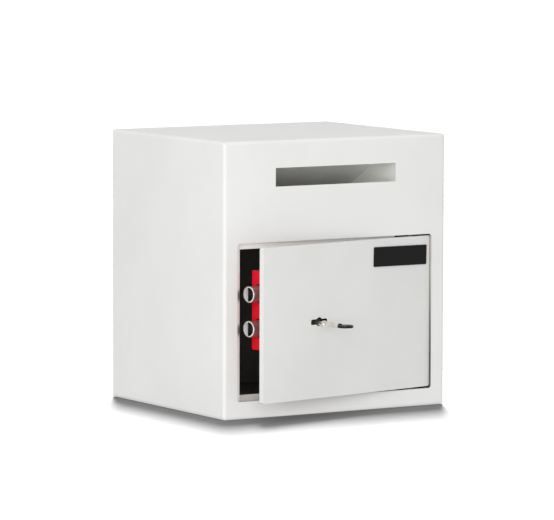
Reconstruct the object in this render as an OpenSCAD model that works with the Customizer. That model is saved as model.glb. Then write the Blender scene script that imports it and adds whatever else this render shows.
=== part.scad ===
// Under-counter deposit safe: a welded steel cabinet with a deposit slot above a
// key-locked door. The door stands ajar, with its two locking bolts drawn back.
// X is the viewer's right, Y goes back from the door, Z is up. The origin is the
// middle of the underside.

/* [Cabinet] */
// Width of the cabinet
body_w = 350; // [330:5:450]
// Depth of the cabinet, front to back
body_d = 300; // [240:5:400]
// Height of the cabinet
body_h = 370; // [350:5:450]
// Thickness of the side, top, base and back plates
wall = 4; // [3:0.5:6]
// Thickness of the front plate
front_t = 4; // [3:0.5:6]
// Rounding of the cabinet's outer edges
edge_r = 4.5; // [1:0.5:6]

/* [Door opening] */
// Width of the front plate on each side of the door opening
jamb_w = 21; // [18:1:30]
// Height of the front plate above the door opening
head_h = 135.5; // [130.5:0.5:156]
// Height of the opening's sill above the floor
open_z = 23.5; // [20:0.5:40]
// Corner radius of the opening
open_r = 4; // [3:0.5:8]
// How far the door stop reaches into the opening
stop_lap = 8.4; // [6:0.1:8.5]
// Thickness of the door stop's folded steel
stop_t = 4; // [2:0.5:5]
// Length at the hinge side where the stop is cut away
stop_cut = 55; // [45:1:80]

/* [Door leaf] */
// Thickness of the door leaf
leaf_t = 8; // [6:0.5:8]
// Gap between the leaf and the opening, all round
leaf_gap = 2.5; // [2:0.1:3]
// Corner radius of the leaf
leaf_r = 2.5; // [2:0.5:8]
// Gap between the shut leaf and the stop behind it
seat_gap = 0.3; // [0.3:0.1:1]
// Angle at which the door stands open
door_rest = 10.5; // [10.5:0.5:45]

/* [Hinge] */
// Distance of the hinge axis from the leaf's edge
pivot_in = 24; // [22:0.5:30]
// Depth of the hinge axis behind the leaf's front face
pivot_back = 14; // [14:0.5:16]
// Diameter of the hinge pins
pin_d = 8; // [6:0.5:9]
// Radial running clearance of pins, bolts and the lock's drum
run_fit = 0.05; // [0.02:0.01:0.08]
// Height of each hinge block on the door
block_h = 26; // [16:1:40]
// Thickness of each hinge lug on the cabinet
lug_h = 10; // [6:1:12]
// Height of the bearing collar under the lower hinge block
collar_h = 3.7; // [2.5:0.1:4]
// Length of the fixed dog bar on the hinge side
dog_h = 118; // [60:2:130]
// How far the dog bar reaches behind the front plate
dog_lap = 7; // [4:0.5:9]

/* [Slot and chute] */
// Width of the deposit slot
slot_w = 190; // [150:5:220]
// Height of the deposit slot
slot_h = 25; // [15:1:28]
// Distance of the slot's upper edge below the cabinet's top
slot_down = 37; // [31:1:47]
// Angle of the chute's plates from the vertical
chute_tilt = 59; // [54:1:62]
// Thickness of the chute's plates
chute_t = 2; // [1.5:0.5:3]
// Length of the upper chute plate, which starts in the corner under the top plate
baffle_len = 140; // [116:2:150]
// Length of the lower chute plate, which starts under the slot
ramp_len = 72; // [50:1:84]
// Number of teeth that stop a deposit from being fished out
teeth = 14; // [6:1:24]
// Length of each tooth
tooth_len = 12; // [6:1:16]

/* [Locking bolts] */
// Diameter of each locking bolt
bolt_d = 22; // [20:0.5:22]
// Height of the bolts' middle above the leaf's lower edge
bolt_mid = 118.5; // [110:0.5:122]
// Distance between the two bolts
bolt_spacing = 46; // [44:1:50]
// Depth of the bolts' axes behind the leaf's front face
bolt_depth = 40; // [39:0.1:40.4]
// Distance of the drawn bolts' tips from the leaf's free edge
tip_in = 9; // [9:0.1:12]
// Chamfer round each bolt's tip
tip_chamfer = 0.5; // [0.3:0.1:2]
// Diameter of the recess bored in each bolt's tip
recess_d = 17.6; // [8:0.2:18]
// Depth of the recess
recess_len = 7.5; // [2:0.5:12]
// Travel of the bolts
throw = 18; // [12:1:20]
// Clearance of the bolts in the keeper's square holes, on each side
keeper_fit = 1; // [0.5:0.25:2]
// Thickness of the bar that joins the bolts
bar_t = 5; // [4:0.5:6]
// Thickness of the inner guide plate
guide_t = 5; // [3:0.5:6]

/* [Boltwork cover] */
// Distance of the cover from the leaf's free edge
cover_in = 28.6; // [26:0.1:29]
// Depth of the cover's back behind the leaf's front face
cover_depth = 55.5; // [55:0.5:70]
// Height of the cover
cover_h = 106; // [104:1:120]
// Thickness of the cover's sheet
cover_t = 2; // [1:0.25:2.5]
// Wall of the bush round each bolt
bush_wall = 1.5; // [1:0.25:1.5]
// Length of each bush
bush_len = 6; // [4:0.5:8]
// Diameter of the cover's pillars
pillar_d = 8; // [7:0.5:9]

/* [Lock] */
// Distance of the key's axis from the leaf's free edge
key_in = 99.5; // [98:0.5:120]
// Height of the key's axis above the leaf's lower edge
key_up = 100.2; // [96:0.1:104]
// Thickness of the drill-proof plate
hard_t = 4; // [3:0.5:5]
// Depth of the lock case without its cover
case_d = 19.5; // [19.5:0.5:24]
// Thickness of the lock case and of its cover
case_t = 2; // [1.5:0.25:2]
// Number of levers
lever_count = 6; // [3:1:6]
// Thickness of each lever
lever_t = 1.2; // [0.8:0.1:1.3]
// Distance from one lever to the next
lever_pitch = 1.5; // [1.4:0.1:1.6]
// Diameter of the stump and of the drum's crank pin
stump_d = 5; // [4:0.5:5]
// Radius of the drum that the key turns
drum_r = 12; // [11.8:0.1:12.5]

/* [Key] */
// Diameter of the key's shank
shank_d = 6; // [5:0.5:6]
// Reach of the longest bit from the key's axis
bit_reach = 13.5; // [11:0.5:13.5]
// Thickness of the bits
bit_t = 2.4; // [2:0.1:2.6]
// Diameter of the key's round bow
bow_d = 21; // [18:1:28]
// Thickness of the bow
bow_t = 3; // [2:0.5:4]
// Distance of the bow's middle in front of the leaf
bow_out = 51; // [40:1:60]
// Width of the keyhole
keyhole_w = 29.4; // [29.4:0.2:32]
// Height of the keyhole's wings
keyhole_h = 7.2; // [7.2:0.1:9]
// Diameter of the keyhole's round middle
keyhole_d = 12; // [11.5:0.5:13]

/* [Badge plate] */
// Width of the plain badge plate
badge_w = 97.5; // [60:0.5:120]
// Height of the badge plate
badge_h = 26.6; // [16:0.2:30]
// Thickness of the badge plate
badge_t = 1.2; // [0.8:0.1:2]
// Distance of the badge from the leaf's hinge edge
badge_in = 7; // [5:0.5:40]
// Distance of the badge from the leaf's top edge
badge_down = 11.2; // [7:0.1:20]
// Slant at which the badge was stuck on
badge_tilt = 1.2; // [0:0.1:3]

/* [Fixing] */
// Diameter of the floor fixing holes
anchor_d = 12; // [8:1:16]
// Distance between the fixing holes, left to right
anchor_x = 200; // [100:10:260]
// Distance between the fixing holes, front to back
anchor_y = 150; // [80:10:200]
// Thickness of the floor mat
mat_t = 3; // [2:0.5:5]

/* [Hidden] */
$fn = 48;
paint = "whitesmoke";
steel = "silver";

// The cabinet's inside and the door's edges
front_y = -body_d / 2;
in_x = body_w / 2 - wall;
open_top = body_h - head_h;
open_x = body_w / 2 - jamb_w;
leaf_x0 = -open_x + leaf_gap;
leaf_x1 = open_x - leaf_gap;
leaf_z0 = open_z + leaf_gap;
leaf_z1 = open_top - leaf_gap;
pivot_x = leaf_x1 - pivot_in;
pivot_y = front_y + pivot_back;

// Height of the slot's lower edge above the floor
slot_z = body_h - slot_down - slot_h;

// The door stop stands behind the shut leaf
stop_y0 = front_y + leaf_t + seat_gap;
stop_y1 = stop_y0 + stop_t;
stop_x1 = open_x - stop_cut;

// Hinge blocks, lugs and collar
hinge_side = 3;
hinge_w = pin_d + 2 * hinge_side;
lug_side = 8;
lug_w = pin_d + 2 * lug_side;
block_gap = 0.5;
lug_gap = 2;
collar_d = 2 * (pivot_back - leaf_t) - 0.6;
block_y1 = pivot_y + hinge_w / 2;
top_lug_z = open_top + lug_gap;
low_lug_z = leaf_z0 + block_gap - seat_gap - collar_h;
dog_x0 = pivot_x + hinge_w / 2 + 4.5;
dog_t = 8;

// Locking bolts, what slides with them, and the keeper's steel behind them
bolt_z = [leaf_z0 + bolt_mid - bolt_spacing / 2, leaf_z0 + bolt_mid + bolt_spacing / 2];
bolt_y = front_y + bolt_depth;
bolt_run_d = bolt_d + 2 * run_fit;
tip_x = leaf_x0 + tip_in;
web_edge = 11;

// Crank pin, stump and levers, placed from the key's axis
key_x = leaf_x0 + key_in;
key_z = leaf_z0 + key_up;
crank_r = throw / 2;
slot_play = 2.3;
yoke_half = stump_d / 2 + slot_play;
yoke_rim = 3;
yoke_down = 8;
stump_side = 10;
stump_up = 26;
stump_x = key_x + stump_side;
stump_z = key_z + stump_up;
lever_arm = 16;
lever_end = 5;
lever_tip = 7;
lever_rim = 10.3;
lever_pin_x = stump_x + lever_arm;
lever_x0 = stump_x - throw - lever_tip;
lever_x1 = lever_pin_x + lever_end;
lever_z0 = key_z + bit_reach + 1;
lever_z1 = stump_z + lever_rim;
belly_half = 10;
belly_h = 4;
gate_play = 0.3;
pocket_w = stump_d + 3;
pocket_h = stump_d + 7;
spring_strip = 0.6;
spring_foot = 3;
spring_bend = 8;
spring_reach = 14;

// The lock case stands on the drill-proof plate, round the levers and the drum
bolt_play = 1.2;
lever_room = 2.5;
drum_room = 4;
spring_room = 7.7;
hard_y1 = front_y + leaf_t + hard_t;
case_x0 = key_x + crank_r - yoke_half - yoke_rim - throw - bolt_play - case_t;
case_x1 = lever_x1 + lever_room + case_t;
case_z0 = key_z - drum_r - drum_room - case_t;
case_z1 = lever_z1 + spring_room + case_t;
case_y1 = hard_y1 + case_d;
case_lid_y = case_y1 + case_t;
lock_screw_d = 4;
lock_head_d = 7.5;
lock_head_t = 2.5;
lock_screw_in = 5.5;
lock_screws_at = [for (x = [case_x0 + lock_screw_in, case_x1 - lock_screw_in],
                       z = [case_z0 + lock_screw_in, case_z1 - lock_screw_in]) [x, z]];
hard_margin = 3;

// From the front of the case to its back: levers, drum, lock bolt
lever_gap = 1;
layer_gap = 0.5;
lever_y0 = hard_y1 + case_t + lever_gap;
lever_y1 = lever_y0 + lever_count * lever_pitch;
drum_y0 = lever_y1 + layer_gap;
drum_t = 2.4;
drum_y1 = drum_y0 + drum_t;
draw_y0 = drum_y1 + layer_gap;
draw_t = 3;
draw_y1 = draw_y0 + draw_t;
tongue_half = 5.5;
arm_up = 4;
arm_h = 12;
arm_z = [key_z + arm_up, key_z + arm_up + arm_h];
arm_mid = (arm_z[0] + arm_z[1]) / 2;

// From the lock case leftwards: the lock bolt's tab, the bar and the guide plate
tab_t = 3;
tab_gap = 4;
tab_x1 = case_x0 - tab_gap;
bar_x1 = tab_x1 - tab_t;
bar_x0 = bar_x1 - bar_t;
bar_edge = 12;
bar_play = 2;
guide_x1 = bar_x0 - throw - bar_play;
guide_x0 = guide_x1 - guide_t;
guide_edge = 6;
tab_screw_d = 4;
tab_edge = 4;
tab_screw_pitch = 7.5;
tab_screws_y = [draw_y1 + tab_edge, draw_y1 + tab_edge + tab_screw_pitch];
bolt_screw_d = 8;
bolt_screw_len = 20;
bolt_head_d = 13;
bolt_head_t = 4;
tab_head_d = 6.5;
tab_head_t = 2;

// Boltwork cover
cover_x0 = leaf_x0 + cover_in;
cover_x1 = case_x1 + 5;
cover_z0 = leaf_z0 + bolt_mid - cover_h / 2;
cover_z1 = cover_z0 + cover_h;
cover_y1 = front_y + cover_depth;
pillar_in = 9;
pillars_at = [for (x = [cover_x0 + pillar_in, cover_x1 - pillar_in],
                   z = [cover_z0 + pillar_in, cover_z1 - pillar_in]) [x, z]];
cover_screw_d = 5;
cover_head_d = 9;
cover_head_t = 3;
cover_screw_len = 10;
guide_play = 0.3;
bush_d = bolt_run_d + 2 * bush_wall;

// Key: how much shorter each bit is than the longest, and its room in the keyholes
bit_lengths = [0, 2, 0.9, 3.1, 0.5, 2.5];
wing_up = 2.1;
bit_fit = 0.4;

// Chute: both plates start at the back of the front plate
chute_y = front_y + front_t;
chute_below = 3;
chute_beside = 2;
chute_edge = chute_t / sin(chute_tilt);
baffle_z = body_h - wall - chute_edge;
ramp_z = slot_z - chute_below;
chute_x = slot_w / 2 + chute_beside;

// Helpers: a box between two corners, and rods along each axis
module block(lo, hi) {
    translate(lo) cube(hi - lo);
}

module rod_x(x0, x1, y, z, d) {
    translate([x0, y, z]) rotate([0, 90, 0]) cylinder(h = x1 - x0, d = d);
}

module rod_y(y0, y1, x, z, d) {
    translate([x, y0, z]) rotate([-90, 0, 0]) cylinder(h = y1 - y0, d = d);
}

module rod_z(z0, z1, x, y, d) {
    translate([x, y, z0]) cylinder(h = z1 - z0, d = d);
}

// A rectangle with round corners, between two corner points
module rounded(lo, hi, r) {
    translate([lo[0] + r, lo[1]]) square([hi[0] - lo[0] - 2 * r, hi[1] - lo[1]]);
    translate([lo[0], lo[1] + r]) square([hi[0] - lo[0], hi[1] - lo[1] - 2 * r]);
    for (x = [lo[0] + r, hi[0] - r], y = [lo[1] + r, hi[1] - r]) translate([x, y]) circle(r);
}

// An outline drawn in X and Z, extruded along Y
module along_y(y0, y1) {
    translate([0, y1, 0]) rotate([90, 0, 0]) linear_extrude(y1 - y0) children();
}

// An outline drawn in Y and Z, extruded along X
module along_x(x0, x1) {
    translate([x0, 0, 0]) rotate([90, 0, 90]) linear_extrude(x1 - x0) children();
}

// Everything on the door is drawn with the door shut, then swung open
module on_door() {
    translate([pivot_x, pivot_y, 0]) rotate([0, 0, door_rest]) translate([-pivot_x, -pivot_y, 0]) children();
}

// The whole cabinet as a solid block with its outer edges rounded
module outer_block() {
    intersection() {
        linear_extrude(body_h) rounded([-body_w / 2, front_y], [body_w / 2, -front_y], edge_r);
        along_y(front_y, -front_y) rounded([-body_w / 2, 0], [body_w / 2, body_h], edge_r);
        along_x(-body_w / 2, body_w / 2) rounded([front_y, 0], [-front_y, body_h], edge_r);
    }
}

// One welded plate of the cabinet, between two corners of the block
module shell_plate(lo, hi) {
    color(paint) intersection() {
        outer_block();
        block(lo, hi);
    }
}

module left_side() {
    shell_plate([-body_w / 2, chute_y, 0], [-in_x, -front_y, body_h]);
}

module right_side() {
    shell_plate([in_x, chute_y, 0], [body_w / 2, -front_y, body_h]);
}

module top_plate() {
    shell_plate([-in_x, chute_y, body_h - wall], [in_x, -front_y, body_h]);
}

module base_plate() {
    color(paint) difference() {
        shell_plate([-in_x, chute_y, 0], [in_x, -front_y, wall]);
        anchor_holes(anchor_d, -1, wall + 1);
    }
}

module back_plate() {
    shell_plate([-in_x, -front_y - wall, wall], [in_x, -front_y, body_h - wall]);
}

module front_plate() {
    color(paint) difference() {
        shell_plate([-body_w / 2, front_y, 0], [body_w / 2, chute_y, body_h]);
        along_y(front_y - 1, chute_y + 1) rounded([-open_x, open_z], [open_x, open_top], open_r);
        block([-slot_w / 2, front_y - 1, slot_z], [slot_w / 2, chute_y + 1, slot_z + slot_h]);
    }
}

module anchor_holes(d, z0, z1) {
    for (x = [-anchor_x / 2, anchor_x / 2], y = [-anchor_y / 2, anchor_y / 2]) rod_z(z0, z1, x, y, d);
}

// Folded jamb at the free edge: reveal, stop, keeper web with a square hole for each bolt, and return
module bolt_keeper_jamb() {
    web_x1 = -open_x + stop_lap;
    web_x0 = web_x1 - stop_t;
    back_y = bolt_y + bolt_d / 2 + web_edge;
    hole = bolt_d / 2 + keeper_fit;
    color(paint) difference() {
        union() {
            block([-open_x - stop_t, chute_y, open_z], [-open_x, stop_y1, open_top]);
            block([-open_x - stop_t, stop_y0, open_z], [web_x1, stop_y1, open_top]);
            block([web_x0, stop_y0, open_z], [web_x1, back_y, open_top]);
            block([-in_x, back_y - stop_t, open_z], [web_x1, back_y, open_top]);
        }
        for (z = bolt_z) block([web_x0 - 1, bolt_y - hole, z - hole], [web_x1 + 1, bolt_y + hole, z + hole]);
    }
}

// Stop angle along the top or the bottom of the opening: reveal leg and stop leg
module stop_angle(edge, outward) {
    z_out = edge + outward * stop_t;
    z_in = edge - outward * stop_lap;
    color(paint) union() {
        block([-open_x - stop_t, chute_y, min(edge, z_out)], [stop_x1, stop_y1, max(edge, z_out)]);
        block([-open_x + stop_lap, stop_y0, min(edge, z_in)], [stop_x1, stop_y1, max(edge, z_in)]);
    }
}

module stop_angle_top() {
    stop_angle(open_top, 1);
}

module stop_angle_bottom() {
    stop_angle(open_z, -1);
}

// Hinge lug welded behind the front plate, with the pin's bore
module hinge_lug(z) {
    color(steel) difference() {
        block([pivot_x - lug_w / 2, chute_y, z], [pivot_x + lug_w / 2, pivot_y + lug_w / 2 - 2, z + lug_h]);
        rod_z(z - 1, z + lug_h + 1, pivot_x, pivot_y, pin_d + 2 * run_fit);
    }
}

module hinge_lug_top() {
    hinge_lug(top_lug_z);
}

module hinge_lug_bottom() {
    hinge_lug(low_lug_z - lug_h);
}

module hinge_collar() {
    color("goldenrod") difference() {
        rod_z(low_lug_z, low_lug_z + collar_h, pivot_x, pivot_y, collar_d);
        rod_z(low_lug_z - 1, low_lug_z + collar_h + 1, pivot_x, pivot_y, pin_d + 2 * run_fit);
    }
}

// A sloping chute plate; its face on the chute's inside meets the front plate at height z
module chute_plate(z, len, y0) {
    color(paint) intersection() {
        translate([0, chute_y, z]) rotate([chute_tilt, 0, 0])
            block([-chute_x, y0, -len], [chute_x, y0 + chute_t, 2 * chute_t]);
        block([-chute_x, chute_y, wall], [chute_x, -front_y - wall, body_h - wall]);
    }
}

module chute_baffle() {
    chute_plate(baffle_z, baffle_len, 0);
}

module chute_ramp() {
    chute_plate(ramp_z, ramp_len, -chute_t);
}

// The lower corner of a chute plate, on the face that is y from its inside face
function chute_end(z, len, y) = [chute_y + len * sin(chute_tilt) + y * cos(chute_tilt),
    z - len * cos(chute_tilt) + y * sin(chute_tilt)];

// An end plate of the chute, which covers the ends of both sloping plates
module chute_cheek(x0) {
    color(paint) along_x(x0, x0 + chute_t) polygon([[chute_y, baffle_z + chute_edge],
        [chute_y, ramp_z - chute_edge], chute_end(ramp_z, ramp_len, -chute_t),
        chute_end(baffle_z, baffle_len, chute_t)]);
}

module chute_cheek_left() {
    chute_cheek(-chute_x - chute_t);
}

module chute_cheek_right() {
    chute_cheek(chute_x);
}

// Saw-toothed strip on the back of the upper plate's lower end
module anti_fish_teeth() {
    pitch = 2 * chute_x / teeth;
    strip_h = 10;
    strip_t = 1.5;
    tips = [for (i = [0:2 * teeth]) [-chute_x + i * pitch / 2, i % 2 == 0 ? 0 : -tooth_len]];
    color("dimgray") translate([0, chute_y, baffle_z]) rotate([chute_tilt, 0, 0])
        translate([0, chute_t + strip_t, -baffle_len]) rotate([90, 0, 0]) linear_extrude(strip_t)
            polygon(concat([[chute_x, strip_h], [-chute_x, strip_h]], tips));
}

module floor_mat() {
    margin = 6;
    color("dimgray") difference() {
        block([-in_x + margin, chute_y + margin, wall], [in_x - margin, -front_y - wall - margin, wall + mat_t]);
        anchor_holes(2 * anchor_d, wall - 1, wall + mat_t + 1);
    }
}

// Keyhole outline round the key's axis: wings and a round middle
module keyhole(w, h, d, up) {
    translate([key_x, key_z + up]) {
        rounded([-w / 2, -h / 2], [w / 2, h / 2], h / 3);
        circle(d = d);
    }
}

module door_leaf() {
    color(paint) on_door() difference() {
        along_y(front_y, front_y + leaf_t) rounded([leaf_x0, leaf_z0], [leaf_x1, leaf_z1], leaf_r);
        along_y(front_y - 1, front_y + leaf_t + 1) keyhole(keyhole_w, keyhole_h, keyhole_d, wing_up);
    }
}

module hinge_block(z) {
    color(paint) on_door() difference() {
        block([pivot_x - hinge_w / 2, front_y + leaf_t, z], [pivot_x + hinge_w / 2, block_y1, z + block_h]);
        rod_z(z - 1, z + block_h + 1, pivot_x, pivot_y, pin_d + 2 * run_fit);
    }
}

module hinge_block_top() {
    hinge_block(leaf_z1 - block_gap - block_h);
}

module hinge_block_bottom() {
    hinge_block(leaf_z0 + block_gap);
}

module hinge_pin_top() {
    color(steel) on_door() rod_z(leaf_z1 - block_h, top_lug_z + lug_h, pivot_x, pivot_y, pin_d);
}

module hinge_pin_bottom() {
    color(steel) on_door() rod_z(low_lug_z - lug_h, leaf_z0 + block_h, pivot_x, pivot_y, pin_d);
}

module hinge_dog_bar() {
    mid = (leaf_z0 + leaf_z1) / 2;
    color(steel) on_door() block([dog_x0, front_y + leaf_t, mid - dog_h / 2],
        [open_x + dog_lap, front_y + leaf_t + dog_t, mid + dog_h / 2]);
}

module drill_plate() {
    color("dimgray") on_door() difference() {
        block([case_x0 - hard_margin, front_y + leaf_t, case_z0 - hard_margin],
            [case_x1 + hard_margin, hard_y1, case_z1 + hard_margin]);
        along_y(front_y + leaf_t - 1, hard_y1 + 1) keyhole(keyhole_w, bit_t + 2 * bit_fit, shank_d + 1, 0);
        for (p = lock_screws_at) rod_y(front_y + leaf_t - 1, hard_y1 + 1, p[0], p[1], lock_screw_d + 2 * run_fit);
    }
}

module bolt_guide() {
    color(steel) on_door() difference() {
        block([guide_x0, front_y + leaf_t, bolt_z[0] - bolt_d / 2 - guide_edge],
            [guide_x1, cover_y1 - cover_t - guide_play, bolt_z[1] + bolt_d / 2 + guide_edge]);
        for (z = bolt_z) rod_x(guide_x0 - 1, guide_x1 + 1, bolt_y, z, bolt_run_d);
    }
}

module bolt_bushes() {
    color("dimgray") on_door() for (z = bolt_z) difference() {
        rod_x(cover_x0, cover_x0 + bush_len, bolt_y, z, bush_d);
        rod_x(cover_x0 - 1, cover_x0 + bush_len + 1, bolt_y, z, bolt_run_d);
    }
}

module boltwork_cover() {
    color("crimson") on_door() difference() {
        block([cover_x0, front_y + leaf_t, cover_z0], [cover_x1, cover_y1, cover_z1]);
        block([cover_x0 + cover_t, front_y + leaf_t - 1, cover_z0 + cover_t],
            [cover_x1 - cover_t, cover_y1 - cover_t, cover_z1 - cover_t]);
        for (z = bolt_z) rod_x(cover_x0 - 1, cover_x0 + cover_t + 1, bolt_y, z, bush_d + 2 * run_fit);
        for (p = pillars_at) rod_y(cover_y1 - cover_t - 1, cover_y1 + 1, p[0], p[1], cover_screw_d + 2 * run_fit);
    }
}

module cover_pillars() {
    color(steel) on_door() for (p = pillars_at) difference() {
        rod_y(front_y + leaf_t, cover_y1 - cover_t, p[0], p[1], pillar_d);
        rod_y(cover_y1 - cover_t - cover_screw_len - 2, cover_y1, p[0], p[1], cover_screw_d + 2 * run_fit);
    }
}

// A cap screw along Y: its shank ends at y1, where its head begins
module cap_screw(y0, y1, x, z, d, head_d, head_t) {
    difference() {
        union() {
            rod_y(y0, y1 + head_t / 2, x, z, d);
            rod_y(y1, y1 + head_t, x, z, head_d);
        }
        translate([x, y1 + head_t / 2, z]) rotate([-90, 0, 0]) cylinder(h = head_t, d = d * 0.9, $fn = 6);
    }
}

module cover_screws() {
    color(steel) on_door() for (p = pillars_at)
        cap_screw(cover_y1 - cover_t - cover_screw_len, cover_y1, p[0], p[1], cover_screw_d, cover_head_d, cover_head_t);
}

module lock_case() {
    color(steel) on_door() difference() {
        block([case_x0, hard_y1, case_z0], [case_x1, case_y1, case_z1]);
        block([case_x0 + case_t, hard_y1 + case_t, case_z0 + case_t],
            [case_x1 - case_t, case_y1 + 1, case_z1 - case_t]);
        along_y(hard_y1 - 1, hard_y1 + case_t + 1) keyhole(keyhole_w, bit_t + 2 * bit_fit, shank_d + 1, 0);
        for (p = lock_screws_at) rod_y(hard_y1 - 1, hard_y1 + case_t + 1, p[0], p[1], lock_screw_d + 2 * run_fit);
        block([case_x0 - 1, draw_y0 - 0.3, arm_z[0] - 0.3], [case_x0 + case_t + 1, case_y1 + 1, arm_z[1] + 0.3]);
    }
}

module lock_cover() {
    color(steel) on_door() difference() {
        block([case_x0, case_y1, case_z0], [case_x1, case_lid_y, case_z1]);
        for (p = lock_screws_at) rod_y(case_y1 - 1, case_lid_y + 1, p[0], p[1], lock_screw_d + 2 * run_fit);
    }
}

module lock_screws() {
    color("dimgray") on_door() for (p = lock_screws_at)
        cap_screw(front_y + leaf_t + 1, case_lid_y, p[0], p[1], lock_screw_d, lock_head_d, lock_head_t);
}

// Plate across the case that carries the drum, held by the two lower screws
module drum_plate() {
    color(steel) on_door() difference() {
        block([case_x0 + case_t, drum_y0, case_z0 + case_t], [case_x1 - case_t, drum_y1, key_z + drum_r + 2]);
        rod_y(drum_y0 - 1, drum_y1 + 1, key_x, key_z, 2 * (drum_r + run_fit));
        for (p = lock_screws_at) rod_y(drum_y0 - 1, drum_y1 + 1, p[0], p[1], lock_screw_d + 2 * run_fit);
    }
}

module lever_pivot() {
    color(steel) on_door() rod_y(hard_y1 + case_t, case_y1, lever_pin_x, stump_z, stump_d);
}

module badge_plate() {
    r = 1.5;
    mid_x = leaf_x1 - badge_in - badge_w / 2;
    mid_z = leaf_z1 - badge_down - badge_h / 2;
    color("black") on_door() along_y(front_y - badge_t, front_y) translate([mid_x, mid_z]) rotate(-badge_tilt)
        rounded([-badge_w / 2, -badge_h / 2], [badge_w / 2, badge_h / 2], r);
}

// Two round bolts, each with a recess in its tip and a bore for its screw
module locking_bolts() {
    color(steel) on_door() for (z = bolt_z) difference() {
        translate([tip_x, bolt_y, z]) rotate([0, 90, 0]) union() {
            cylinder(h = tip_chamfer, d1 = bolt_d - 2 * tip_chamfer, d2 = bolt_d);
            translate([0, 0, tip_chamfer]) cylinder(h = bar_x0 - tip_x - tip_chamfer, d = bolt_d);
        }
        rod_x(tip_x - 1, tip_x + recess_len, bolt_y, z, recess_d);
        rod_x(bar_x0 - bolt_screw_len, bar_x0 + 1, bolt_y, z, bolt_screw_d + 2 * run_fit);
    }
}

module bolt_bar() {
    color(steel) on_door() difference() {
        block([bar_x0, draw_y0, bolt_z[0] - bar_edge], [bar_x1, bolt_y + bolt_d / 2, bolt_z[1] + bar_edge]);
        for (z = bolt_z) rod_x(bar_x0 - 1, bar_x1 + 1, bolt_y, z, bolt_screw_d + 2 * run_fit);
        for (y = tab_screws_y) rod_x(bar_x0 - 1, bar_x1 + 1, y, arm_mid, tab_screw_d + 2 * run_fit);
    }
}

// A cap screw along X: its shank runs from x0 to its head, which begins at x1
module side_screw(x0, x1, y, z, d, head_d, head_t) {
    difference() {
        union() {
            rod_x(x0, x1 + head_t / 2, y, z, d);
            rod_x(x1, x1 + head_t, y, z, head_d);
        }
        translate([x1 + head_t / 2, y, z]) rotate([0, 90, 0]) cylinder(h = head_t, d = d * 0.8, $fn = 6);
    }
}

module bolt_screws() {
    color("dimgray") on_door() for (z = bolt_z)
        side_screw(bar_x0 - bolt_screw_len + 1, bar_x1, bolt_y, z, bolt_screw_d, bolt_head_d, bolt_head_t);
}

module tab_screws() {
    color("dimgray") on_door() for (y = tab_screws_y)
        side_screw(bar_x0 + 0.5, tab_x1, y, arm_mid, tab_screw_d, tab_head_d, tab_head_t);
}

// Sliding plate of the lock: yoke for the crank pin, post with the stump, arm and tab
module lock_bolt() {
    yoke_x = key_x + crank_r;
    post_half = stump_d;
    color("goldenrod") on_door() difference() {
        union() {
            block([yoke_x - yoke_half - yoke_rim, draw_y0, key_z - yoke_down],
                [yoke_x + yoke_half + yoke_rim, draw_y1, arm_z[1]]);
            block([bar_x1, draw_y0, arm_z[0]], [yoke_x, draw_y1, arm_z[1]]);
            block([stump_x - post_half, draw_y0, arm_z[0]], [stump_x + post_half, draw_y1, stump_z + post_half]);
            block([bar_x1, draw_y0, arm_z[0]], [tab_x1, tab_screws_y[1] + tab_edge, arm_z[1]]);
            rod_y(lever_y0, draw_y0 + 1, stump_x, stump_z, stump_d);
        }
        block([yoke_x - yoke_half, draw_y0 - 1, key_z - stump_d / 2 - 1],
            [yoke_x + yoke_half, draw_y1 + 1, key_z + crank_r + stump_d / 2 + 1]);
        for (y = tab_screws_y) rod_x(bar_x1 - 1, tab_x1 + 1, y, arm_mid, tab_screw_d + 2 * run_fit);
    }
}

// Drum with a slot for the key's tongue and a crank pin on its back
module lock_drum() {
    slot_half = tongue_half + 0.2;
    color("goldenrod") on_door() union() {
        difference() {
            rod_y(drum_y0, drum_y1, key_x, key_z, 2 * drum_r);
            rod_y(drum_y0 - 1, drum_y1 + 1, key_x, key_z, shank_d + 0.3);
            block([key_x - slot_half, drum_y0 - 1, key_z - bit_t / 2 - 0.2],
                [key_x + slot_half, drum_y1 + 1, key_z + bit_t / 2 + 0.2]);
        }
        rod_y(drum_y1 - 1, draw_y1, key_x + crank_r, key_z, stump_d);
    }
}

// Lever outline: a bar with a belly over the key, a gate and a pocket at each end of it
module lever_outline() {
    difference() {
        union() {
            translate([lever_x0, lever_z0 + belly_h - 1]) square([lever_x1 - lever_x0, lever_z1 - lever_z0 - belly_h + 1]);
            translate([key_x - belly_half, lever_z0]) square([2 * belly_half, belly_h]);
        }
        translate([lever_pin_x, stump_z]) circle(d = stump_d + 2 * run_fit);
        translate([stump_x - throw, stump_z - stump_d / 2 - gate_play]) square([throw, stump_d + 2 * gate_play]);
        for (x = [stump_x - throw, stump_x]) translate([x - pocket_w / 2, stump_z - pocket_h / 2])
            square([pocket_w, pocket_h]);
    }
}

module levers() {
    color("goldenrod") on_door() for (i = [0:lever_count - 1])
        along_y(lever_y0 + i * lever_pitch, lever_y0 + i * lever_pitch + lever_t) lever_outline();
}

// A bent strip on top of each lever presses against the top of the case
module lever_springs() {
    foot = [lever_pin_x - spring_foot, lever_z1];
    bend = [lever_pin_x - spring_bend, lever_z1];
    tip = [stump_x - spring_reach, case_z1 - case_t - spring_strip / 2];
    up = [0, spring_strip];
    color(steel) on_door() for (i = [0:lever_count - 1])
        along_y(lever_y0 + i * lever_pitch, lever_y0 + i * lever_pitch + lever_t / 2)
            polygon([foot, foot + up, bend + up, tip, tip - up, bend]);
}

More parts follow.
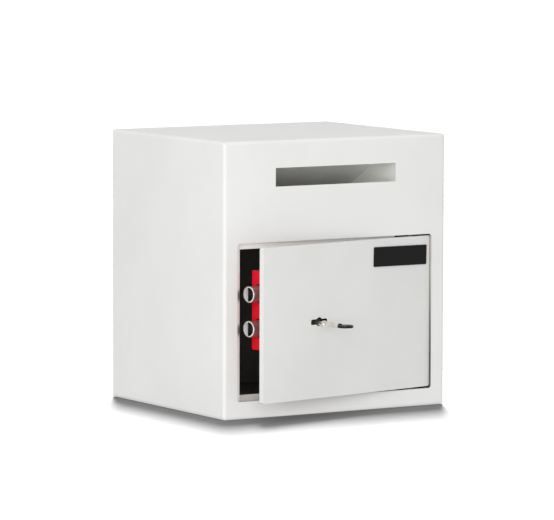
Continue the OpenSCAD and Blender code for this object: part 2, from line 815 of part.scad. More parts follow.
// Double-bitted key: bow, shank, shoulder, stepped bits and a flat tongue at the tip
module key() {
    bow_y = front_y - bow_out;
    ring_hole = 5;
    shoulder_out = 8.5;
    shoulder_len = 3;
    shoulder_y = [front_y - shoulder_out - shoulder_len, front_y - shoulder_out];
    color(steel) on_door() difference() {
        union() {
            rod_z(key_z - bow_t / 2, key_z + bow_t / 2, key_x, bow_y, bow_d);
            rod_y(bow_y + bow_d / 2 - 2, drum_y1, key_x, key_z, shank_d);
            rod_y(shoulder_y[0], shoulder_y[1], key_x, key_z, shank_d + 3);
            for (i = [0:lever_count - 1]) {
                reach = bit_reach - bit_lengths[i];
                block([key_x - reach, lever_y0 + i * lever_pitch, key_z - bit_t / 2],
                    [key_x + reach, lever_y0 + (i + 1) * lever_pitch, key_z + bit_t / 2]);
            }
            block([key_x - tongue_half, lever_y0, key_z - bit_t / 2],
                [key_x + tongue_half, drum_y1, key_z + bit_t / 2]);
        }
        rod_z(key_z - bow_t, key_z + bow_t, key_x, bow_y - bow_d / 4, ring_hole);
    }
}

left_side();
right_side();
top_plate();
base_plate();
back_plate();
front_plate();
bolt_keeper_jamb();
stop_angle_top();
stop_angle_bottom();
hinge_lug_top();
hinge_lug_bottom();
hinge_collar();
chute_baffle();
chute_ramp();
chute_cheek_left();
chute_cheek_right();
anti_fish_teeth();
floor_mat();
door_leaf();
hinge_block_top();
hinge_block_bottom();
hinge_pin_top();
hinge_pin_bottom();
hinge_dog_bar();
drill_plate();
bolt_guide();
bolt_bushes();
boltwork_cover();
cover_pillars();
cover_screws();
lock_case();
lock_cover();
lock_screws();
drum_plate();
lever_pivot();
badge_plate();
locking_bolts();
bolt_bar();
bolt_screws();
lock_bolt();
tab_screws();
lock_drum();
levers();
lever_springs();
key();
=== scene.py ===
# Deposit safe with its door ajar: finishes, weld beads, floor, lamps and camera.
# Everything is in metres, in the CAD model's own frame.
import math
import bmesh
import bpy
from mathutils import Matrix, Vector


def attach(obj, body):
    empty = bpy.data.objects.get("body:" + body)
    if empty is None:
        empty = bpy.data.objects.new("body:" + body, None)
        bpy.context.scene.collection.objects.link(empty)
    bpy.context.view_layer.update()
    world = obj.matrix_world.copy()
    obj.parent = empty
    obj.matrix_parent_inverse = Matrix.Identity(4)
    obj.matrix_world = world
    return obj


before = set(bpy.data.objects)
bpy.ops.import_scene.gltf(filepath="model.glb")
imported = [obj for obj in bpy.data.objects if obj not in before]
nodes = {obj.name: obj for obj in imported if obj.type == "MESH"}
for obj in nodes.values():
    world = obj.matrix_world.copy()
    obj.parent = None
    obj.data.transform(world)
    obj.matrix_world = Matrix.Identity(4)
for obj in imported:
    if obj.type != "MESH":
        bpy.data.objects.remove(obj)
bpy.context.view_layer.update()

white = (1.0, 1.0, 1.0, 1.0)
print("loaded", len(nodes), "parts of the safe")


class Wire:
    # wraps one socket of a node tree, so that a shader's numbers are written as plain arithmetic
    def __init__(self, tree, socket=None):
        self.tree = tree
        self.socket = socket

    def node(self, kind, settings=None, sockets=None, out=0):
        made = self.tree.nodes.new("ShaderNode" + kind)
        for name, value in (settings or {}).items():
            setattr(made, name, value)
        for name, value in (sockets or {}).items():
            if isinstance(value, Wire):
                self.tree.links.new(value.socket, made.inputs[name])
            else:
                made.inputs[name].default_value = value
        return Wire(self.tree, made.outputs[out] if made.outputs else None)

    def math(self, operation, a, b=0.0):
        return self.node("Math", {"operation": operation}, {0: a, 1: b})

    def __add__(self, other):
        return self.math("ADD", self, other)

    def __radd__(self, other):
        return self.math("ADD", other, self)

    def __sub__(self, other):
        return self.math("SUBTRACT", self, other)

    def __rsub__(self, other):
        return self.math("SUBTRACT", other, self)

    def __mul__(self, other):
        return self.math("MULTIPLY", self, other)

    def __rmul__(self, other):
        return self.math("MULTIPLY", other, self)

    def least(self, other):
        return self.math("MINIMUM", self, other)

    def most(self, other):
        return self.math("MAXIMUM", self, other)

    def size(self):
        return self.math("ABSOLUTE", self)

    def wave(self):
        return self.math("SINE", self)

    def root(self):
        return self.math("SQRT", self)

    def fade(self, low, high):  # 0 below low, 1 above high, smooth between
        sockets = {0: self, 1: low, 2: high, 3: 0.0, 4: 1.0}
        return self.node("MapRange", {"interpolation_type": "SMOOTHSTEP"}, sockets)

    def spread(self, low, high):  # a 0..1 value stretched to low..high
        return self * (high - low) + low

    def vector(self, operation, other, out=0):
        return self.node("VectorMath", {"operation": operation}, {0: self, 1: other}, out)

    def axes(self):
        split = self.node("SeparateXYZ", None, {0: self})
        return [Wire(self.tree, socket) for socket in split.socket.node.outputs]

    def noise(self, scale, detail, rough, stretch=None):  # scale is to the metre
        place = self if stretch is None else self.vector("MULTIPLY", stretch)
        sockets = {"Vector": place, "Scale": scale, "Detail": detail, "Roughness": rough}
        return self.node("TexNoise", None, sockets)

    def mixed(self, colourA, colourB):  # this value is the share of colourB
        return self.node("Mix", {"data_type": "RGBA"}, {0: self, 6: colourA, 7: colourB}, 2)

    def bump(self, depth):  # this value is a height of about 0 to 1, depth is in metres
        return self.node("Bump", None, {"Strength": 1.0, "Distance": depth, "Height": self})


def tone(red, green, blue):  # screen colour 0..255 to the shader's linear colour
    def linear(value):
        value = value / 255
        return value / 12.92 if value <= 0.04045 else ((value + 0.055) / 1.055) ** 2.4
    return (linear(red), linear(green), linear(blue), 1.0)


def emptied(owner):  # the node tree of a material or of the world, with nothing in it yet
    owner.use_nodes = True
    owner.node_tree.nodes.clear()
    return Wire(owner.node_tree)


def newFinish(name):
    finish = bpy.data.materials.new(name)
    start = emptied(finish)
    place = start.node("TexCoord", None, None, "Object")  # the part's own space, which moves with it
    return finish, start, place


def surface(finish, start, **sockets):
    named = {key.replace("_", " "): value for key, value in sockets.items()}
    shader = start.node("BsdfPrincipled", None, named)
    start.node("OutputMaterial", None, {"Surface": shader})
    return finish


def wear(finish, *names):
    for name in names:
        slots = nodes[name].data.materials
        if len(slots) == 0:
            slots.append(finish)
        for i in range(len(slots)):
            slots[i] = finish


def placed(name, data):
    made = bpy.data.objects.new(name, data)
    bpy.context.scene.collection.objects.link(made)
    return made


# The door, with its points as they are when it is shut: finishes follow its keyhole and its bolts
doorPose = {
    "pivot": Vector((0.1275, -0.136, 0.0)),
    "openDegrees": 10.5,  # how far it stands open at rest
    "keyhole": (-0.052, -0.150, 0.1262),
    "boltTips": (-0.1427, -0.110),
    "boltHeights": (0.1215, 0.1675),
}
upward = Vector((0.0, 0.0, 1.0))
rightward = Vector((1.0, 0.0, 0.0))
backward = Vector((0.0, 1.0, 0.0))
swing = math.radians(doorPose["openDegrees"])
alongDoor = Vector((math.cos(swing), math.sin(swing), 0.0))  # towards the hinge
intoDoor = Vector((-math.sin(swing), math.cos(swing), 0.0))  # towards the lock and the bolts


def onDoor(x, y, z):  # a point drawn with the door shut, where it is with the door ajar
    pivot = doorPose["pivot"]
    return pivot + alongDoor * (x - pivot.x) + intoDoor * (y - pivot.y) + upward * z


def alongAxis(place, origin, axis):  # how far along an axis a point of the surface lies
    return place.vector("SUBTRACT", tuple(origin)).vector("DOT_PRODUCT", tuple(axis), 1)


def withinBox(place, box):  # 1 inside a box of the part's own space, 0 outside
    sides = []
    for part, low, high in zip(place.axes(), *box):
        sides.append(part.math("GREATER_THAN", part, low) * part.math("LESS_THAN", part, high))
    return sides[0] * sides[1] * sides[2]


keyPoint = onDoor(*doorPose["keyhole"])


# Light grey powder coat, smooth to the eye, with a fine orange peel in the gloss.
# Each noise here and below is its scale, detail and roughness, and for some a stretch.
coatLook = {
    "colour": tone(234, 234, 232),
    "shade": tone(230, 230, 228),
    "cloud": (9.0, 3.0, 0.55),
    "cloudFade": (0.25, 0.75),
    "dust": tone(196, 194, 188),
    "dustNoise": (140.0, 4.0, 0.7),
    "dustFade": (0.60, 0.78),
    "dustShare": 0.10,
    "peel": (620.0, 2.5, 0.45),
    "speck": (2600.0, 1.0, 0.5),
    "speckShare": 0.12,
    "peelDepth": 0.000035,
    "roughness": (0.46, 0.56),
    "gloss": 0.3,
}
# painted shade: the door's coat is a darker copy of the cabinet's, for the light it turns away from
doorShadedLook = dict(coatLook, colour=tone(228, 228, 226), shade=tone(223, 223, 221))
# painted light: the chute and the door stop take a paler and smoother copy of the coat, where little light
# reaches
chuteLitLook = dict(coatLook, colour=tone(254, 254, 250), shade=tone(250, 250, 246),
                 roughness=(0.26, 0.38), gloss=0.6)
# painted shade: the lower stop, under the door, is coloured darker
lowStopShadeLook = dict(coatLook, colour=tone(200, 198, 193), shade=tone(190, 188, 183))
# painted shade on the upper hinge block, seen through the gap
hingeShadeLook = dict(coatLook, colour=tone(92, 90, 86), shade=tone(74, 72, 68))

# Round the keyhole: hair scratches from the key, and painted shade, as the hole's walls are coloured black
# from just behind the face
scuffAndHoleShadeLook = {
    "reach": (0.010, 0.032),  # the scratches thin out between these distances
    "squash": 2.2,  # they reach less far up and down than across
    "hair": (420.0, 3.0, 0.6, (1.0, 1.0, 6.0)),
    "hairFade": (0.60, 0.66),
    "rubbed": tone(170, 168, 162),
    "rubbedShare": 0.35,
    "rubbedRough": 0.12,
    "rubbedPeel": 0.5,
    "holeShade": tone(14, 13, 13),
    "cutDepth": (0.0004, 0.0012),
    "cutAcross": (0.0165, 0.0175),
    "cutUpward": (0.0105, 0.0115),
}

# Inside the cabinet and in the door opening: painted shade, as a darker coat inside, a darker strip in the
# gap beside the hinges and the bolts' shadows painted on the stop
insideLook = {
    "hollow": ((-0.17105, -0.14145, 0.00395), (0.17105, 0.14605, 0.36605)),  # behind the stop's face
    "insideShade": tone(116, 113, 109),
    "insideShadePale": tone(128, 125, 120),
    "insideShadeFade": (0.3, 0.7),
    "dullRough": 0.22,
    "hingeGap": ((0.1502, -0.1494, 0.0228), (0.1545, -0.1450, 0.2352)),  # the edge beside the hinges
    "gapShadeLow": tone(104, 101, 96),  # painted shade, darkest at the bottom
    "gapShadeHigh": tone(206, 203, 196),
    "gapShadeHeights": (0.050, 0.230),
    "stopEdge": ((-0.1545, -0.1430, 0.0), (-0.1440, -0.1412, 0.3)),  # the stop's strip beside the bolts
    "boltShadow": tone(70, 60, 58),  # painted shadow of the bolts on the stop
    "boltShadowSpot": (0.002, 0.0118),
    "boltShadowDrop": 0.003,  # how far below each bolt the painted shadow sits
    "boltShadowShare": 0.8,
}


def scuffsAndHoleShade(place, colour, rough, relief, look):
    x = alongAxis(place, keyPoint, alongDoor)
    z = alongAxis(place, keyPoint, upward)
    near = 1.0 - (x * x + z * z * look["squash"]).root().fade(*look["reach"])
    rub = near * place.noise(*look["hair"]).fade(*look["hairFade"])
    colour = (rub * look["rubbedShare"]).mixed(colour, look["rubbed"])
    rough = rough + rub * look["rubbedRough"]
    relief = relief - rub * look["rubbedPeel"]
    # painted shade: the keyhole's walls are coloured black from just behind the face
    holeShadeMask = alongAxis(place, keyPoint, intoDoor).fade(*look["cutDepth"])
    holeShadeMask = holeShadeMask * (1.0 - x.size().fade(*look["cutAcross"])) * (1.0 - z.size().fade(*look["cutUpward"]))
    return holeShadeMask.mixed(colour, look["holeShade"]), rough, relief


def insidePaintedShade(place, cloud, colour, rough, look):
    inside = withinBox(place, look["hollow"])
    # painted shade: inside the cabinet the coat is coloured darker, for the shade in there
    insideShade = cloud.fade(*look["insideShadeFade"]).mixed(look["insideShade"], look["insideShadePale"])
    colour = inside.mixed(colour, insideShade)
    rough = rough + inside * look["dullRough"]
    height = place.axes()[2]
    # painted shade in the gap beside the hinges, darker towards the bottom
    gapShade = height.fade(*look["gapShadeHeights"]).mixed(look["gapShadeLow"], look["gapShadeHigh"])
    colour = withinBox(place, look["hingeGap"]).mixed(colour, gapShade)
    # painted shadows of the bolts on the stop's strip
    spots = [1.0 - (height - z + look["boltShadowDrop"]).size().fade(*look["boltShadowSpot"])
             for z in doorPose["boltHeights"]]
    boltShadows = withinBox(place, look["stopEdge"]) * (spots[0] + spots[1]) * look["boltShadowShare"]
    return boltShadows.mixed(colour, look["boltShadow"]), rough


def powderCoat(name, look, inside=None, scuffsAndShade=None):
    finish, start, place = newFinish(name)
    peel = place.noise(*look["peel"])
    cloud = place.noise(*look["cloud"])
    relief = peel + place.noise(*look["speck"]) * look["speckShare"]
    dust = place.noise(*look["dustNoise"]).fade(*look["dustFade"])
    colour = cloud.fade(*look["cloudFade"]).mixed(look["shade"], look["colour"])
    colour = (dust * look["dustShare"]).mixed(colour, look["dust"])
    rough = peel.spread(*look["roughness"])
    if scuffsAndShade:
        colour, rough, relief = scuffsAndHoleShade(place, colour, rough, relief, scuffsAndShade)
    if inside:
        colour, rough = insidePaintedShade(place, cloud, colour, rough, inside)
    return surface(finish, start, Base_Color=colour, Roughness=rough,
                   Normal=relief.bump(look["peelDepth"]), Specular_IOR_Level=look["gloss"])


shellCoat = powderCoat("shellCoat", coatLook, inside=insideLook)
doorShadedCoat = powderCoat("doorShadedCoat", doorShadedLook, scuffsAndShade=scuffAndHoleShadeLook)
wear(shellCoat, "left_side", "right_side", "top_plate", "base_plate", "back_plate", "front_plate")
# painted light and shade: paler coats on the stop and the chute, darker ones on the lower stop and the upper
# hinge block
wear(powderCoat("stopLitCoat", chuteLitLook, inside=insideLook), "bolt_keeper_jamb", "stop_angle_top")
wear(powderCoat("lowStopShadeCoat", lowStopShadeLook, inside=insideLook), "stop_angle_bottom")
wear(powderCoat("chuteLitCoat", chuteLitLook), "chute_baffle", "chute_ramp", "chute_cheek_left",
     "chute_cheek_right")
wear(doorShadedCoat, "door_leaf", "hinge_block_bottom", "hinge_dog_bar")
wear(powderCoat("hingeShadeCoat", hingeShadeLook), "hinge_block_top")
print("powder coat on the cabinet and the door")


# Thin dark primer on the steel that is only reached through the door
primerLook = {
    "colour": tone(78, 77, 74),
    "pale": tone(96, 95, 91),
    "cloud": (60.0, 4.0, 0.6),
    "cloudFade": (0.3, 0.7),
    "grain": (1400.0, 2.0, 0.5),
    "grainDepth": 0.00006,
    "roughness": (0.5, 0.66),
}


def primer(name, look):
    finish, start, place = newFinish(name)
    cloud = place.noise(*look["cloud"])
    grain = place.noise(*look["grain"])
    colour = cloud.fade(*look["cloudFade"]).mixed(look["colour"], look["pale"])
    return surface(finish, start, Base_Color=colour, Roughness=cloud.spread(*look["roughness"]),
                   Normal=grain.bump(look["grainDepth"]))


wear(primer("primer", primerLook), "hinge_lug_top", "hinge_lug_bottom", "anti_fish_teeth")
print("primer on the lugs and the teeth")


# Red powder coat on the boltwork cover, with dust where it faces up
redLook = {
    "colour": tone(255, 28, 54),
    "deep": tone(248, 24, 47),
    "cloud": (24.0, 3.0, 0.55),
    "cloudFade": (0.3, 0.75),
    "peel": (560.0, 2.0, 0.45),
    "peelDepth": 0.00004,
    "roughness": (0.38, 0.5),
    "dust": tone(112, 100, 98),
    "dustShare": (0.7, 1.0),
    "dustRough": 0.3,
    "upFacing": (0.7, 0.95),
}


def redCoat(name, look):
    finish, start, place = newFinish(name)
    cloud = place.noise(*look["cloud"])
    peel = place.noise(*look["peel"])
    facing = start.node("TexCoord", None, None, "Normal")
    settled = facing.axes()[2].fade(*look["upFacing"]) * cloud.spread(*look["dustShare"])
    colour = cloud.fade(*look["cloudFade"]).mixed(look["colour"], look["deep"])
    colour = settled.mixed(colour, look["dust"])
    rough = peel.spread(*look["roughness"]) + settled * look["dustRough"]
    return surface(finish, start, Base_Color=colour, Roughness=rough, Normal=peel.bump(look["peelDepth"]))


wear(redCoat("redCoat", redLook), "boltwork_cover")
print("red cover")


# Turned steel: rings across a bolt's tip and along its shaft, and on the hinge pins
turnedLook = {
    "ringPitch": 0.00055,
    "ringDepth": 0.000006,
    "haze": (70.0, 3.0, 0.6),
    "hazeFade": (0.35, 0.8),
    "hazeShade": 0.86,  # the colour in the haze, as a share of the clear colour
    "streak": (900.0, 2.0, 0.6),
    "streakRough": 0.05,
    "gloss": 0.12,
}
pinLook = dict(turnedLook, colour=(0.26, 0.26, 0.26, 1.0), shine=1.0, roughness=(0.28, 0.42))
boltLook = dict(
    turnedLook,
    # painted shade: the shaft is coloured dark and given less metal, for the dark it reflects
    colour=(0.31, 0.32, 0.31, 1.0),
    shine=0.72,  # the rest is plain grey: painted shade on the shaft
    roughness=(0.16, 0.26),
    tip=(0.0004, 0.0010),  # the turned face of a tip is brighter than the shaft
    tipColour=(0.78, 0.78, 0.77, 1.0),
    recess=(0.0090, 0.0094),
    recessColour=(0.93, 0.93, 0.92, 1.0),  # its wall is blasted, so it scatters light
    recessRough=0.25,
    recessMatt=0.85,
    wayDown=(0.74, -0.67),  # along the bolt and across it: painted shade on this side of the recess
    oilEdge=(-0.0011, -0.0003),
    oil=(0.012, 0.011, 0.011, 1.0),
)


def fromAxes(place, run, origins):  # how far a point of the surface is from the nearest bolt's middle line
    away = []
    for origin in origins:
        far = place.vector("SUBTRACT", tuple(origin)).vector("LENGTH", (0.0, 0.0, 0.0), 1)
        away.append((far * far - run * run).most(0.0).root())
    nearest = away[0]
    for other in away[1:]:
        nearest = nearest.least(other)
    return nearest


def turnedSteel(name, origins, axis, look):
    finish, start, place = newFinish(name)
    run = alongAxis(place, origins[0], axis)
    reach = fromAxes(place, run, origins)
    rings = ((run + reach) * (2 * math.pi / look["ringPitch"])).wave() * 0.5 + 0.5  # 0..1
    streak = place.noise(*look["streak"])
    haze = place.noise(*look["haze"])
    rough = haze.spread(*look["roughness"]) + streak * look["streakRough"]
    shaded = tuple(share * look["hazeShade"] for share in look["colour"][:3]) + (1.0,)
    colour = haze.fade(*look["hazeFade"]).mixed(look["colour"], shaded)
    metallic = look["shine"]
    if "recess" in look:
        colour = run.fade(*look["tip"]).mixed(look["tipColour"], colour)
        within = 1.0 - reach.fade(*look["recess"])
        far, aside = look["wayDown"]
        # painted shade over one side of each bolt's recess
        oily = within * (run * far + alongAxis(place, origins[0], intoDoor) * aside).fade(*look["oilEdge"])
        colour = within.mixed(colour, look["recessColour"])
        colour = oily.mixed(colour, look["oil"])
        rough = rough + within * look["recessRough"]
        metallic = look["shine"] * (1.0 - within * look["recessMatt"])
    return surface(finish, start, Base_Color=colour, Roughness=rough, Metallic=metallic,
                   Normal=rings.bump(look["ringDepth"]), Specular_IOR_Level=look["gloss"])


boltTips = [onDoor(*doorPose["boltTips"], z) for z in doorPose["boltHeights"]]
wear(turnedSteel("boltSteel", boltTips, alongDoor, boltLook), "locking_bolts")
wear(turnedSteel("pinSteel", [doorPose["pivot"]], upward, pinLook), "hinge_pin_top", "hinge_pin_bottom")


# Zinc on sheet and bar steel, dark hardened steel, brass, and the key's plated steel
metalLook = {
    "stain": (110.0, 4.0, 0.65),
    "stainFade": (0.35, 0.72),
    "grainRough": 0.06,
    "gloss": 0.15,
}
metalLooks = {
    "zinc": {
        "pale": (0.66, 0.67, 0.69, 1.0), "dark": (0.50, 0.51, 0.54, 1.0), "roughness": (0.26, 0.44),
        "grain": (900.0, 3.0, 0.6, (1.0, 1.0, 0.12)), "depth": 0.000012,
    },
    "hard": {
        "pale": (0.07, 0.07, 0.072, 1.0), "dark": (0.035, 0.035, 0.037, 1.0), "roughness": (0.42, 0.60),
        "grain": (500.0, 3.0, 0.6), "depth": 0.00002,
    },
    "brass": {
        "pale": (0.78, 0.60, 0.29, 1.0), "dark": (0.60, 0.43, 0.18, 1.0), "roughness": (0.24, 0.42),
        "grain": (1000.0, 3.0, 0.6, (0.15, 1.0, 1.0)), "depth": 0.00001,
    },
    "oldBrass": {
        "pale": (0.50, 0.46, 0.39, 1.0), "dark": (0.34, 0.30, 0.24, 1.0), "roughness": (0.40, 0.60),
        "grain": (1000.0, 3.0, 0.6, (1.0, 1.0, 0.3)), "depth": 0.00001,
    },
    "key": {
        "pale": (0.86, 0.84, 0.79, 1.0), "dark": (0.66, 0.62, 0.55, 1.0), "roughness": (0.30, 0.48),
        "grain": (800.0, 3.0, 0.6, (1.0, 0.2, 1.0)), "depth": 0.000014,
        "grip": (0.0385, 0.0395), "gripColour": tone(20, 20, 21),  # the bow is blackened
    },
}


def metal(name, kind):
    finish, start, place = newFinish(name)
    look = dict(metalLook, **metalLooks[kind])
    grain = place.noise(*look["grain"])
    stain = place.noise(*look["stain"])
    colour = stain.fade(*look["stainFade"]).mixed(look["pale"], look["dark"])
    rough = stain.spread(*look["roughness"]) + grain * look["grainRough"]
    metallic = 1.0
    if "grip" in look:
        held = alongAxis(place, keyPoint, -intoDoor).fade(*look["grip"])
        colour = held.mixed(colour, look["gripColour"])
        metallic = 1.0 - held
    return surface(finish, start, Base_Color=colour, Roughness=rough, Metallic=metallic,
                   Normal=grain.bump(look["depth"]), Specular_IOR_Level=look["gloss"])


wear(metal("zincSteel", "zinc"), "bolt_guide", "bolt_bar", "cover_pillars", "cover_screws", "lock_case",
     "lock_cover", "bolt_screws", "tab_screws", "drum_plate", "lever_pivot", "lever_springs")
wear(metal("hardSteel", "hard"), "drill_plate", "lock_screws")
wear(metal("brass", "brass"), "lock_drum", "levers", "lock_bolt")
wear(metal("oldBrass", "oldBrass"), "hinge_collar")
wear(metal("keySteel", "key"), "key")
print("bolts, lock and key")


# Black and grey pieces: the bare badge plate, the nylon bushes and the felt mat
dullLook = {
    "dustNoise": (190.0, 4.0, 0.7),
    "dustFade": (0.5, 0.8),
    "gloss": 0.12,
}
dullLooks = {
    "badge": {
        "colour": tone(12, 12, 13), "dust": tone(20, 20, 21), "roughness": (0.40, 0.52),
        "grain": (1200.0, 3.0, 0.65), "depth": 0.000006,
    },
    "nylon": {
        "colour": tone(26, 26, 27), "dust": tone(38, 38, 38), "roughness": (0.42, 0.56),
        "grain": (700.0, 3.0, 0.65), "depth": 0.00002,
    },
    "felt": {
        "colour": tone(140, 138, 136), "dust": tone(158, 155, 150), "roughness": (0.86, 0.97),
        "grain": (1500.0, 3.0, 0.65), "depth": 0.0004,
    },
}


def dullFinish(name, kind):
    finish, start, place = newFinish(name)
    look = dict(dullLook, **dullLooks[kind])
    grain = place.noise(*look["grain"])
    dust = place.noise(*look["dustNoise"]).fade(*look["dustFade"])
    colour = dust.mixed(look["colour"], look["dust"])
    rough = (grain * 0.5 + dust * 0.5).spread(*look["roughness"])
    return surface(finish, start, Base_Color=colour, Roughness=rough,
                   Normal=grain.bump(look["depth"]), Specular_IOR_Level=look["gloss"])


wear(dullFinish("badgeBlack", "badge"), "badge_plate")
wear(dullFinish("nylonBlack", "nylon"), "bolt_bushes")
wear(dullFinish("feltGrey", "felt"), "floor_mat")
print("badge plate, bushes and mat")


# Broken edges: a small round on each free-standing part, so that its edges catch the light
edgeLook = {
    "mergeWithin": 0.000002,
    "facets": 2,
    "sharpDegrees": 50,
    "evenWeight": 80,
    "rounds": {
        "door_leaf": 0.0006, "badge_plate": 0.0003, "boltwork_cover": 0.0009, "locking_bolts": 0.0004,
        "key": 0.0003, "lock_case": 0.0005, "lock_cover": 0.0004, "bolt_guide": 0.0005,
        "bolt_bar": 0.0005, "hinge_block_top": 0.0006, "hinge_block_bottom": 0.0006,
        "hinge_dog_bar": 0.0006, "hinge_lug_top": 0.0006, "hinge_lug_bottom": 0.0006,
        "floor_mat": 0.0007, "cover_screws": 0.0003, "lock_drum": 0.0002, "stop_angle_top": 0.0004,
        "stop_angle_bottom": 0.0004, "bolt_keeper_jamb": 0.0005,
    },
}


def breakEdges(part, radius, look):
    weld = part.modifiers.new("joinCorners", "WELD")
    weld.merge_threshold = look["mergeWithin"]
    rounding = part.modifiers.new("brokenEdge", "BEVEL")
    rounding.width = radius
    rounding.segments = look["facets"]
    rounding.limit_method = "ANGLE"
    rounding.angle_limit = math.radians(look["sharpDegrees"])
    shading = part.modifiers.new("evenShade", "WEIGHTED_NORMAL")
    shading.weight = look["evenWeight"]


for name, radius in edgeLook["rounds"].items():
    breakEdges(nodes[name], radius, edgeLook)
print("edges broken on", len(edgeLook["rounds"]), "parts")


# Weld beads: rippled fillets in the corners between welded pieces
beadLook = {
    "leg": 0.0024,  # how far a bead reaches along each piece
    "sink": 0.00015,  # how far its edges lie inside them
    "endShare": 0.4,  # how thick a bead is at its ends
    "ripple": 0.16,
    "pitch": 0.0014,
    "step": 0.00035,
    "bulge": 0.84,  # height of the middle of the bead's face, as a share of the leg
    "facets": 4,
}
# where the beads run: the door's lines are given with the door shut
doorWelds = {
    "leafBack": -0.142,
    "blockSides": ((0.1205, -1.0), (0.1345, 1.0)),  # where each side is, and which way it faces
    "blockRuns": ((0.0285, 0.0510), (0.2070, 0.2295)),
    "blockEnds": ((0.0525, 1.0), (0.2055, -1.0)),
    "blockEndRun": (0.1222, 0.1328),
    "barSide": 0.139,
    "barRuns": ((0.074, 0.098), (0.117, 0.141), (0.160, 0.184)),
}
shellWelds = {
    "plateBack": -0.146,
    "lugSides": ((0.1155, -1.0), (0.1395, 1.0)),
    "lugRuns": ((0.0133, 0.0217), (0.2373, 0.2457)),
    "cheekSides": ((-0.099, -1.0), (0.099, 1.0)),
    "cheekRuns": ((0.308, 0.320), (0.328, 0.340), (0.348, 0.360)),
}


def beadRing(beads, centre, leg, sideA, sideB, look):  # a bead's outline, cut across
    ring = [beads.verts.new(centre)]
    for k in range(look["facets"] + 1):
        turn = math.pi / 2 * k / look["facets"]
        reach = leg * (1.0 - (1.0 - look["bulge"]) * math.sin(2 * turn))
        rim = centre + sideA * (reach * math.cos(turn)) + sideB * (reach * math.sin(turn))
        ring.append(beads.verts.new(rim))
    return ring


def weldBeads(name, body, finish, runs, look):
    beads = bmesh.new()
    for start, end, sideA, sideB in runs:
        length = (end - start).length
        along = (end - start) / length
        count = round(length / look["step"])
        rings = []
        for i in range(count + 1):
            run = length * i / count
            growth = (1.0 - look["endShare"]) * min(run, length - run) / look["leg"]
            taper = min(1.0, look["endShare"] + growth)
            leg = look["leg"] * taper * (1.0 - look["ripple"] * ((run / look["pitch"]) % 1.0))
            centre = start + along * run - (sideA + sideB) * look["sink"]
            rings.append(beadRing(beads, centre, leg, sideA, sideB, look))
        for ring, following in zip(rings, rings[1:]):
            for k in range(len(ring)):
                m = (k + 1) % len(ring)
                beads.faces.new((ring[k], ring[m], following[m], following[k]))
        beads.faces.new(rings[0])
        beads.faces.new(rings[-1])
    bmesh.ops.recalc_face_normals(beads, faces=beads.faces)
    mesh = bpy.data.meshes.new(name)
    beads.to_mesh(mesh)
    beads.free()
    for face in mesh.polygons:
        face.use_smooth = True
    mesh.materials.append(finish)
    piece = placed(name, mesh)
    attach(piece, body)


def doorWeldRuns(look):
    y = look["leafBack"]
    runs = []
    for x, way in look["blockSides"]:
        for low, high in look["blockRuns"]:
            runs.append((onDoor(x, y, low), onDoor(x, y, high), alongDoor * way, intoDoor))
    for z, way in look["blockEnds"]:
        low, high = look["blockEndRun"]
        runs.append((onDoor(low, y, z), onDoor(high, y, z), upward * way, intoDoor))
    for low, high in look["barRuns"]:
        runs.append((onDoor(look["barSide"], y, low), onDoor(look["barSide"], y, high), -alongDoor, intoDoor))
    return runs


def shellWeldRuns(look):
    y = look["plateBack"]
    runs = []
    for sides, heights in (("lugSides", "lugRuns"), ("cheekSides", "cheekRuns")):
        for x, way in look[sides]:
            for low, high in look[heights]:
                runs.append((Vector((x, y, low)), Vector((x, y, high)), rightward * way, backward))
    return runs


weldBeads("doorWelds", "door", doorShadedCoat, doorWeldRuns(doorWelds), beadLook)
weldBeads("shellWelds", "cabinet", shellCoat, shellWeldRuns(shellWelds), beadLook)
print("weld beads on the door and in the cabinet")


# Floor: pure white to the eye, with the soft shadow that the safe drops towards the viewer
floorLook = {
    "halfSize": 30.0,
    "drop": 0.0004,
    "share": 0.2,  # how much of its light the floor gives back to the camera
    "bounce": 0.64,  # how pale the floor is to the safe
}


def rayKinds(start, *kinds):
    rays = start.node("LightPath").socket.node.outputs
    return [Wire(start.tree, rays[kind]) for kind in kinds]


def makeFloor(look):
    mesh = bpy.data.meshes.new("floor")
    s = look["halfSize"]
    z = -look["drop"]
    mesh.from_pydata([(-s, -s, z), (s, -s, z), (s, s, z), (-s, s, z)], [], [(0, 1, 2, 3)])
    made = placed("floor", mesh)
    finish = bpy.data.materials.new("whiteFloor")
    start = emptied(finish)
    camera, glossy, glass = rayKinds(start, "Is Camera Ray", "Is Glossy Ray", "Is Transmission Ray")
    bounced = start.node("Emission", None, {"Color": white, "Strength": look["bounce"]})
    share = look["share"]
    seen = start.node("BsdfDiffuse", None, {"Color": (share, share, share, 1.0)})
    either = start.node("MixShader", None, {0: camera.most(glossy).most(glass), 1: bounced, 2: seen})
    start.node("OutputMaterial", None, {"Surface": either})
    mesh.materials.append(finish)
    return made


floor = makeFloor(floorLook)


# World and lamps: a pale tent, two soft boxes, and a row of far lamps behind that only the floor takes
lightLook = {
    "tent": 0.70,
    "inGloss": 0.75,  # how bright the tent is in a reflection
    "boxes": [
        {"name": "frontBox", "at": (-1.34, -1.51, 0.25), "size": 1.5, "watts": 27.4},
        {"name": "topBox", "at": (-0.30, -0.20, 2.20), "size": 1.0, "watts": 6.4},
    ],
    "aim": Vector((0.0, 0.0, 0.18)),
    "floorLamps": {
        "towards": (0.50, 0.866),
        "tiltDegrees": (8.5, 13.0, 17.0, 21.0, 25.0),
        "spreadDegrees": 4.2,
        "strength": 3.2,
    },
}


def makeTent(look):
    world = bpy.data.worlds.new("tent")
    bpy.context.scene.world = world
    start = emptied(world)
    camera, glossy = rayKinds(start, "Is Camera Ray", "Is Glossy Ray")
    strength = camera.spread(look["tent"], 1.0).most(glossy * look["inGloss"])
    sky = start.node("Background", None, {"Color": white, "Strength": strength})
    start.node("OutputWorld", None, {"Surface": sky})


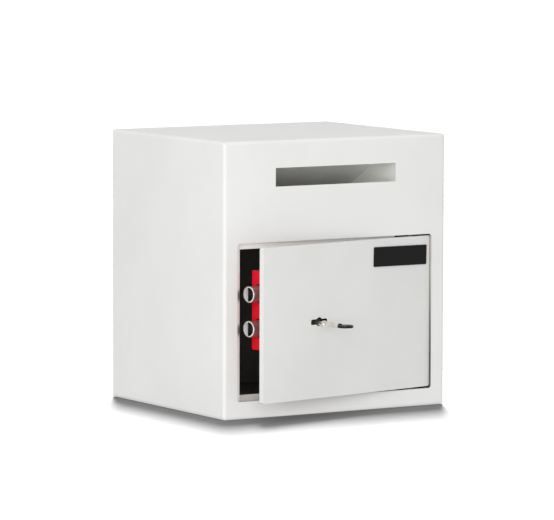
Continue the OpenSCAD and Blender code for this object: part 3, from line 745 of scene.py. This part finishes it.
def makeBoxes(look):
    for wanted in look["boxes"]:
        lamp = bpy.data.lights.new(wanted["name"], "AREA")
        lamp.size = wanted["size"]
        lamp.energy = wanted["watts"]
        holder = placed(wanted["name"], lamp)
        holder.location = wanted["at"]
        holder.rotation_euler = (look["aim"] - Vector(wanted["at"])).to_track_quat("-Z", "Y").to_euler()


def makeFloorLamps(look):
    onlyFloor = bpy.data.collections.new("onlyFloor")
    onlyFloor.objects.link(floor)
    notKey = bpy.data.collections.new("notKey")  # the key drops no shadow of these lamps
    notKey.objects.link(nodes["key"])
    notKey.collection_objects[0].light_linking.link_state = "EXCLUDE"
    for tilt in look["tiltDegrees"]:
        lamp = bpy.data.lights.new("floorLamp", "SUN")
        lamp.angle = math.radians(look["spreadDegrees"])
        lamp.energy = look["strength"]
        holder = placed("floorLamp", lamp)
        x, y = look["towards"]
        level = math.sin(math.radians(tilt))
        source = Vector((x * level, y * level, math.cos(math.radians(tilt))))
        holder.rotation_euler = source.to_track_quat("Z", "Y").to_euler()
        holder.light_linking.receiver_collection = onlyFloor
        holder.light_linking.blocker_collection = notKey


makeTent(lightLook)
makeBoxes(lightLook)
makeFloorLamps(lightLook["floorLamps"])


# Camera: fitted to the photograph's edges
cameraLook = {
    "at": (-3.20594, -5.19965, 0.77885),
    "right": (0.85137, -0.52455, 0.00290),
    "up": (0.04759, 0.08274, 0.99543),
    "ahead": (0.52240, 0.84735, -0.09540),
    "lens": 291.27,
    "sensor": 36.0,
    "clip": (0.05, 200.0),
}


def placeCamera(look):
    data = bpy.data.cameras.new("camera")
    data.lens = look["lens"]
    data.sensor_width = look["sensor"]
    data.sensor_fit = "HORIZONTAL"
    data.clip_start, data.clip_end = look["clip"]
    camera = placed("camera", data)
    right, up, ahead = (Vector(look[key]) for key in ("right", "up", "ahead"))
    turn = Matrix((right, up, -ahead)).transposed().to_4x4()
    camera.matrix_world = Matrix.Translation(look["at"]) @ turn
    bpy.context.scene.camera = camera


placeCamera(cameraLook)
bpy.context.scene.view_settings.view_transform = "Standard"
print("floor, lamps and camera")
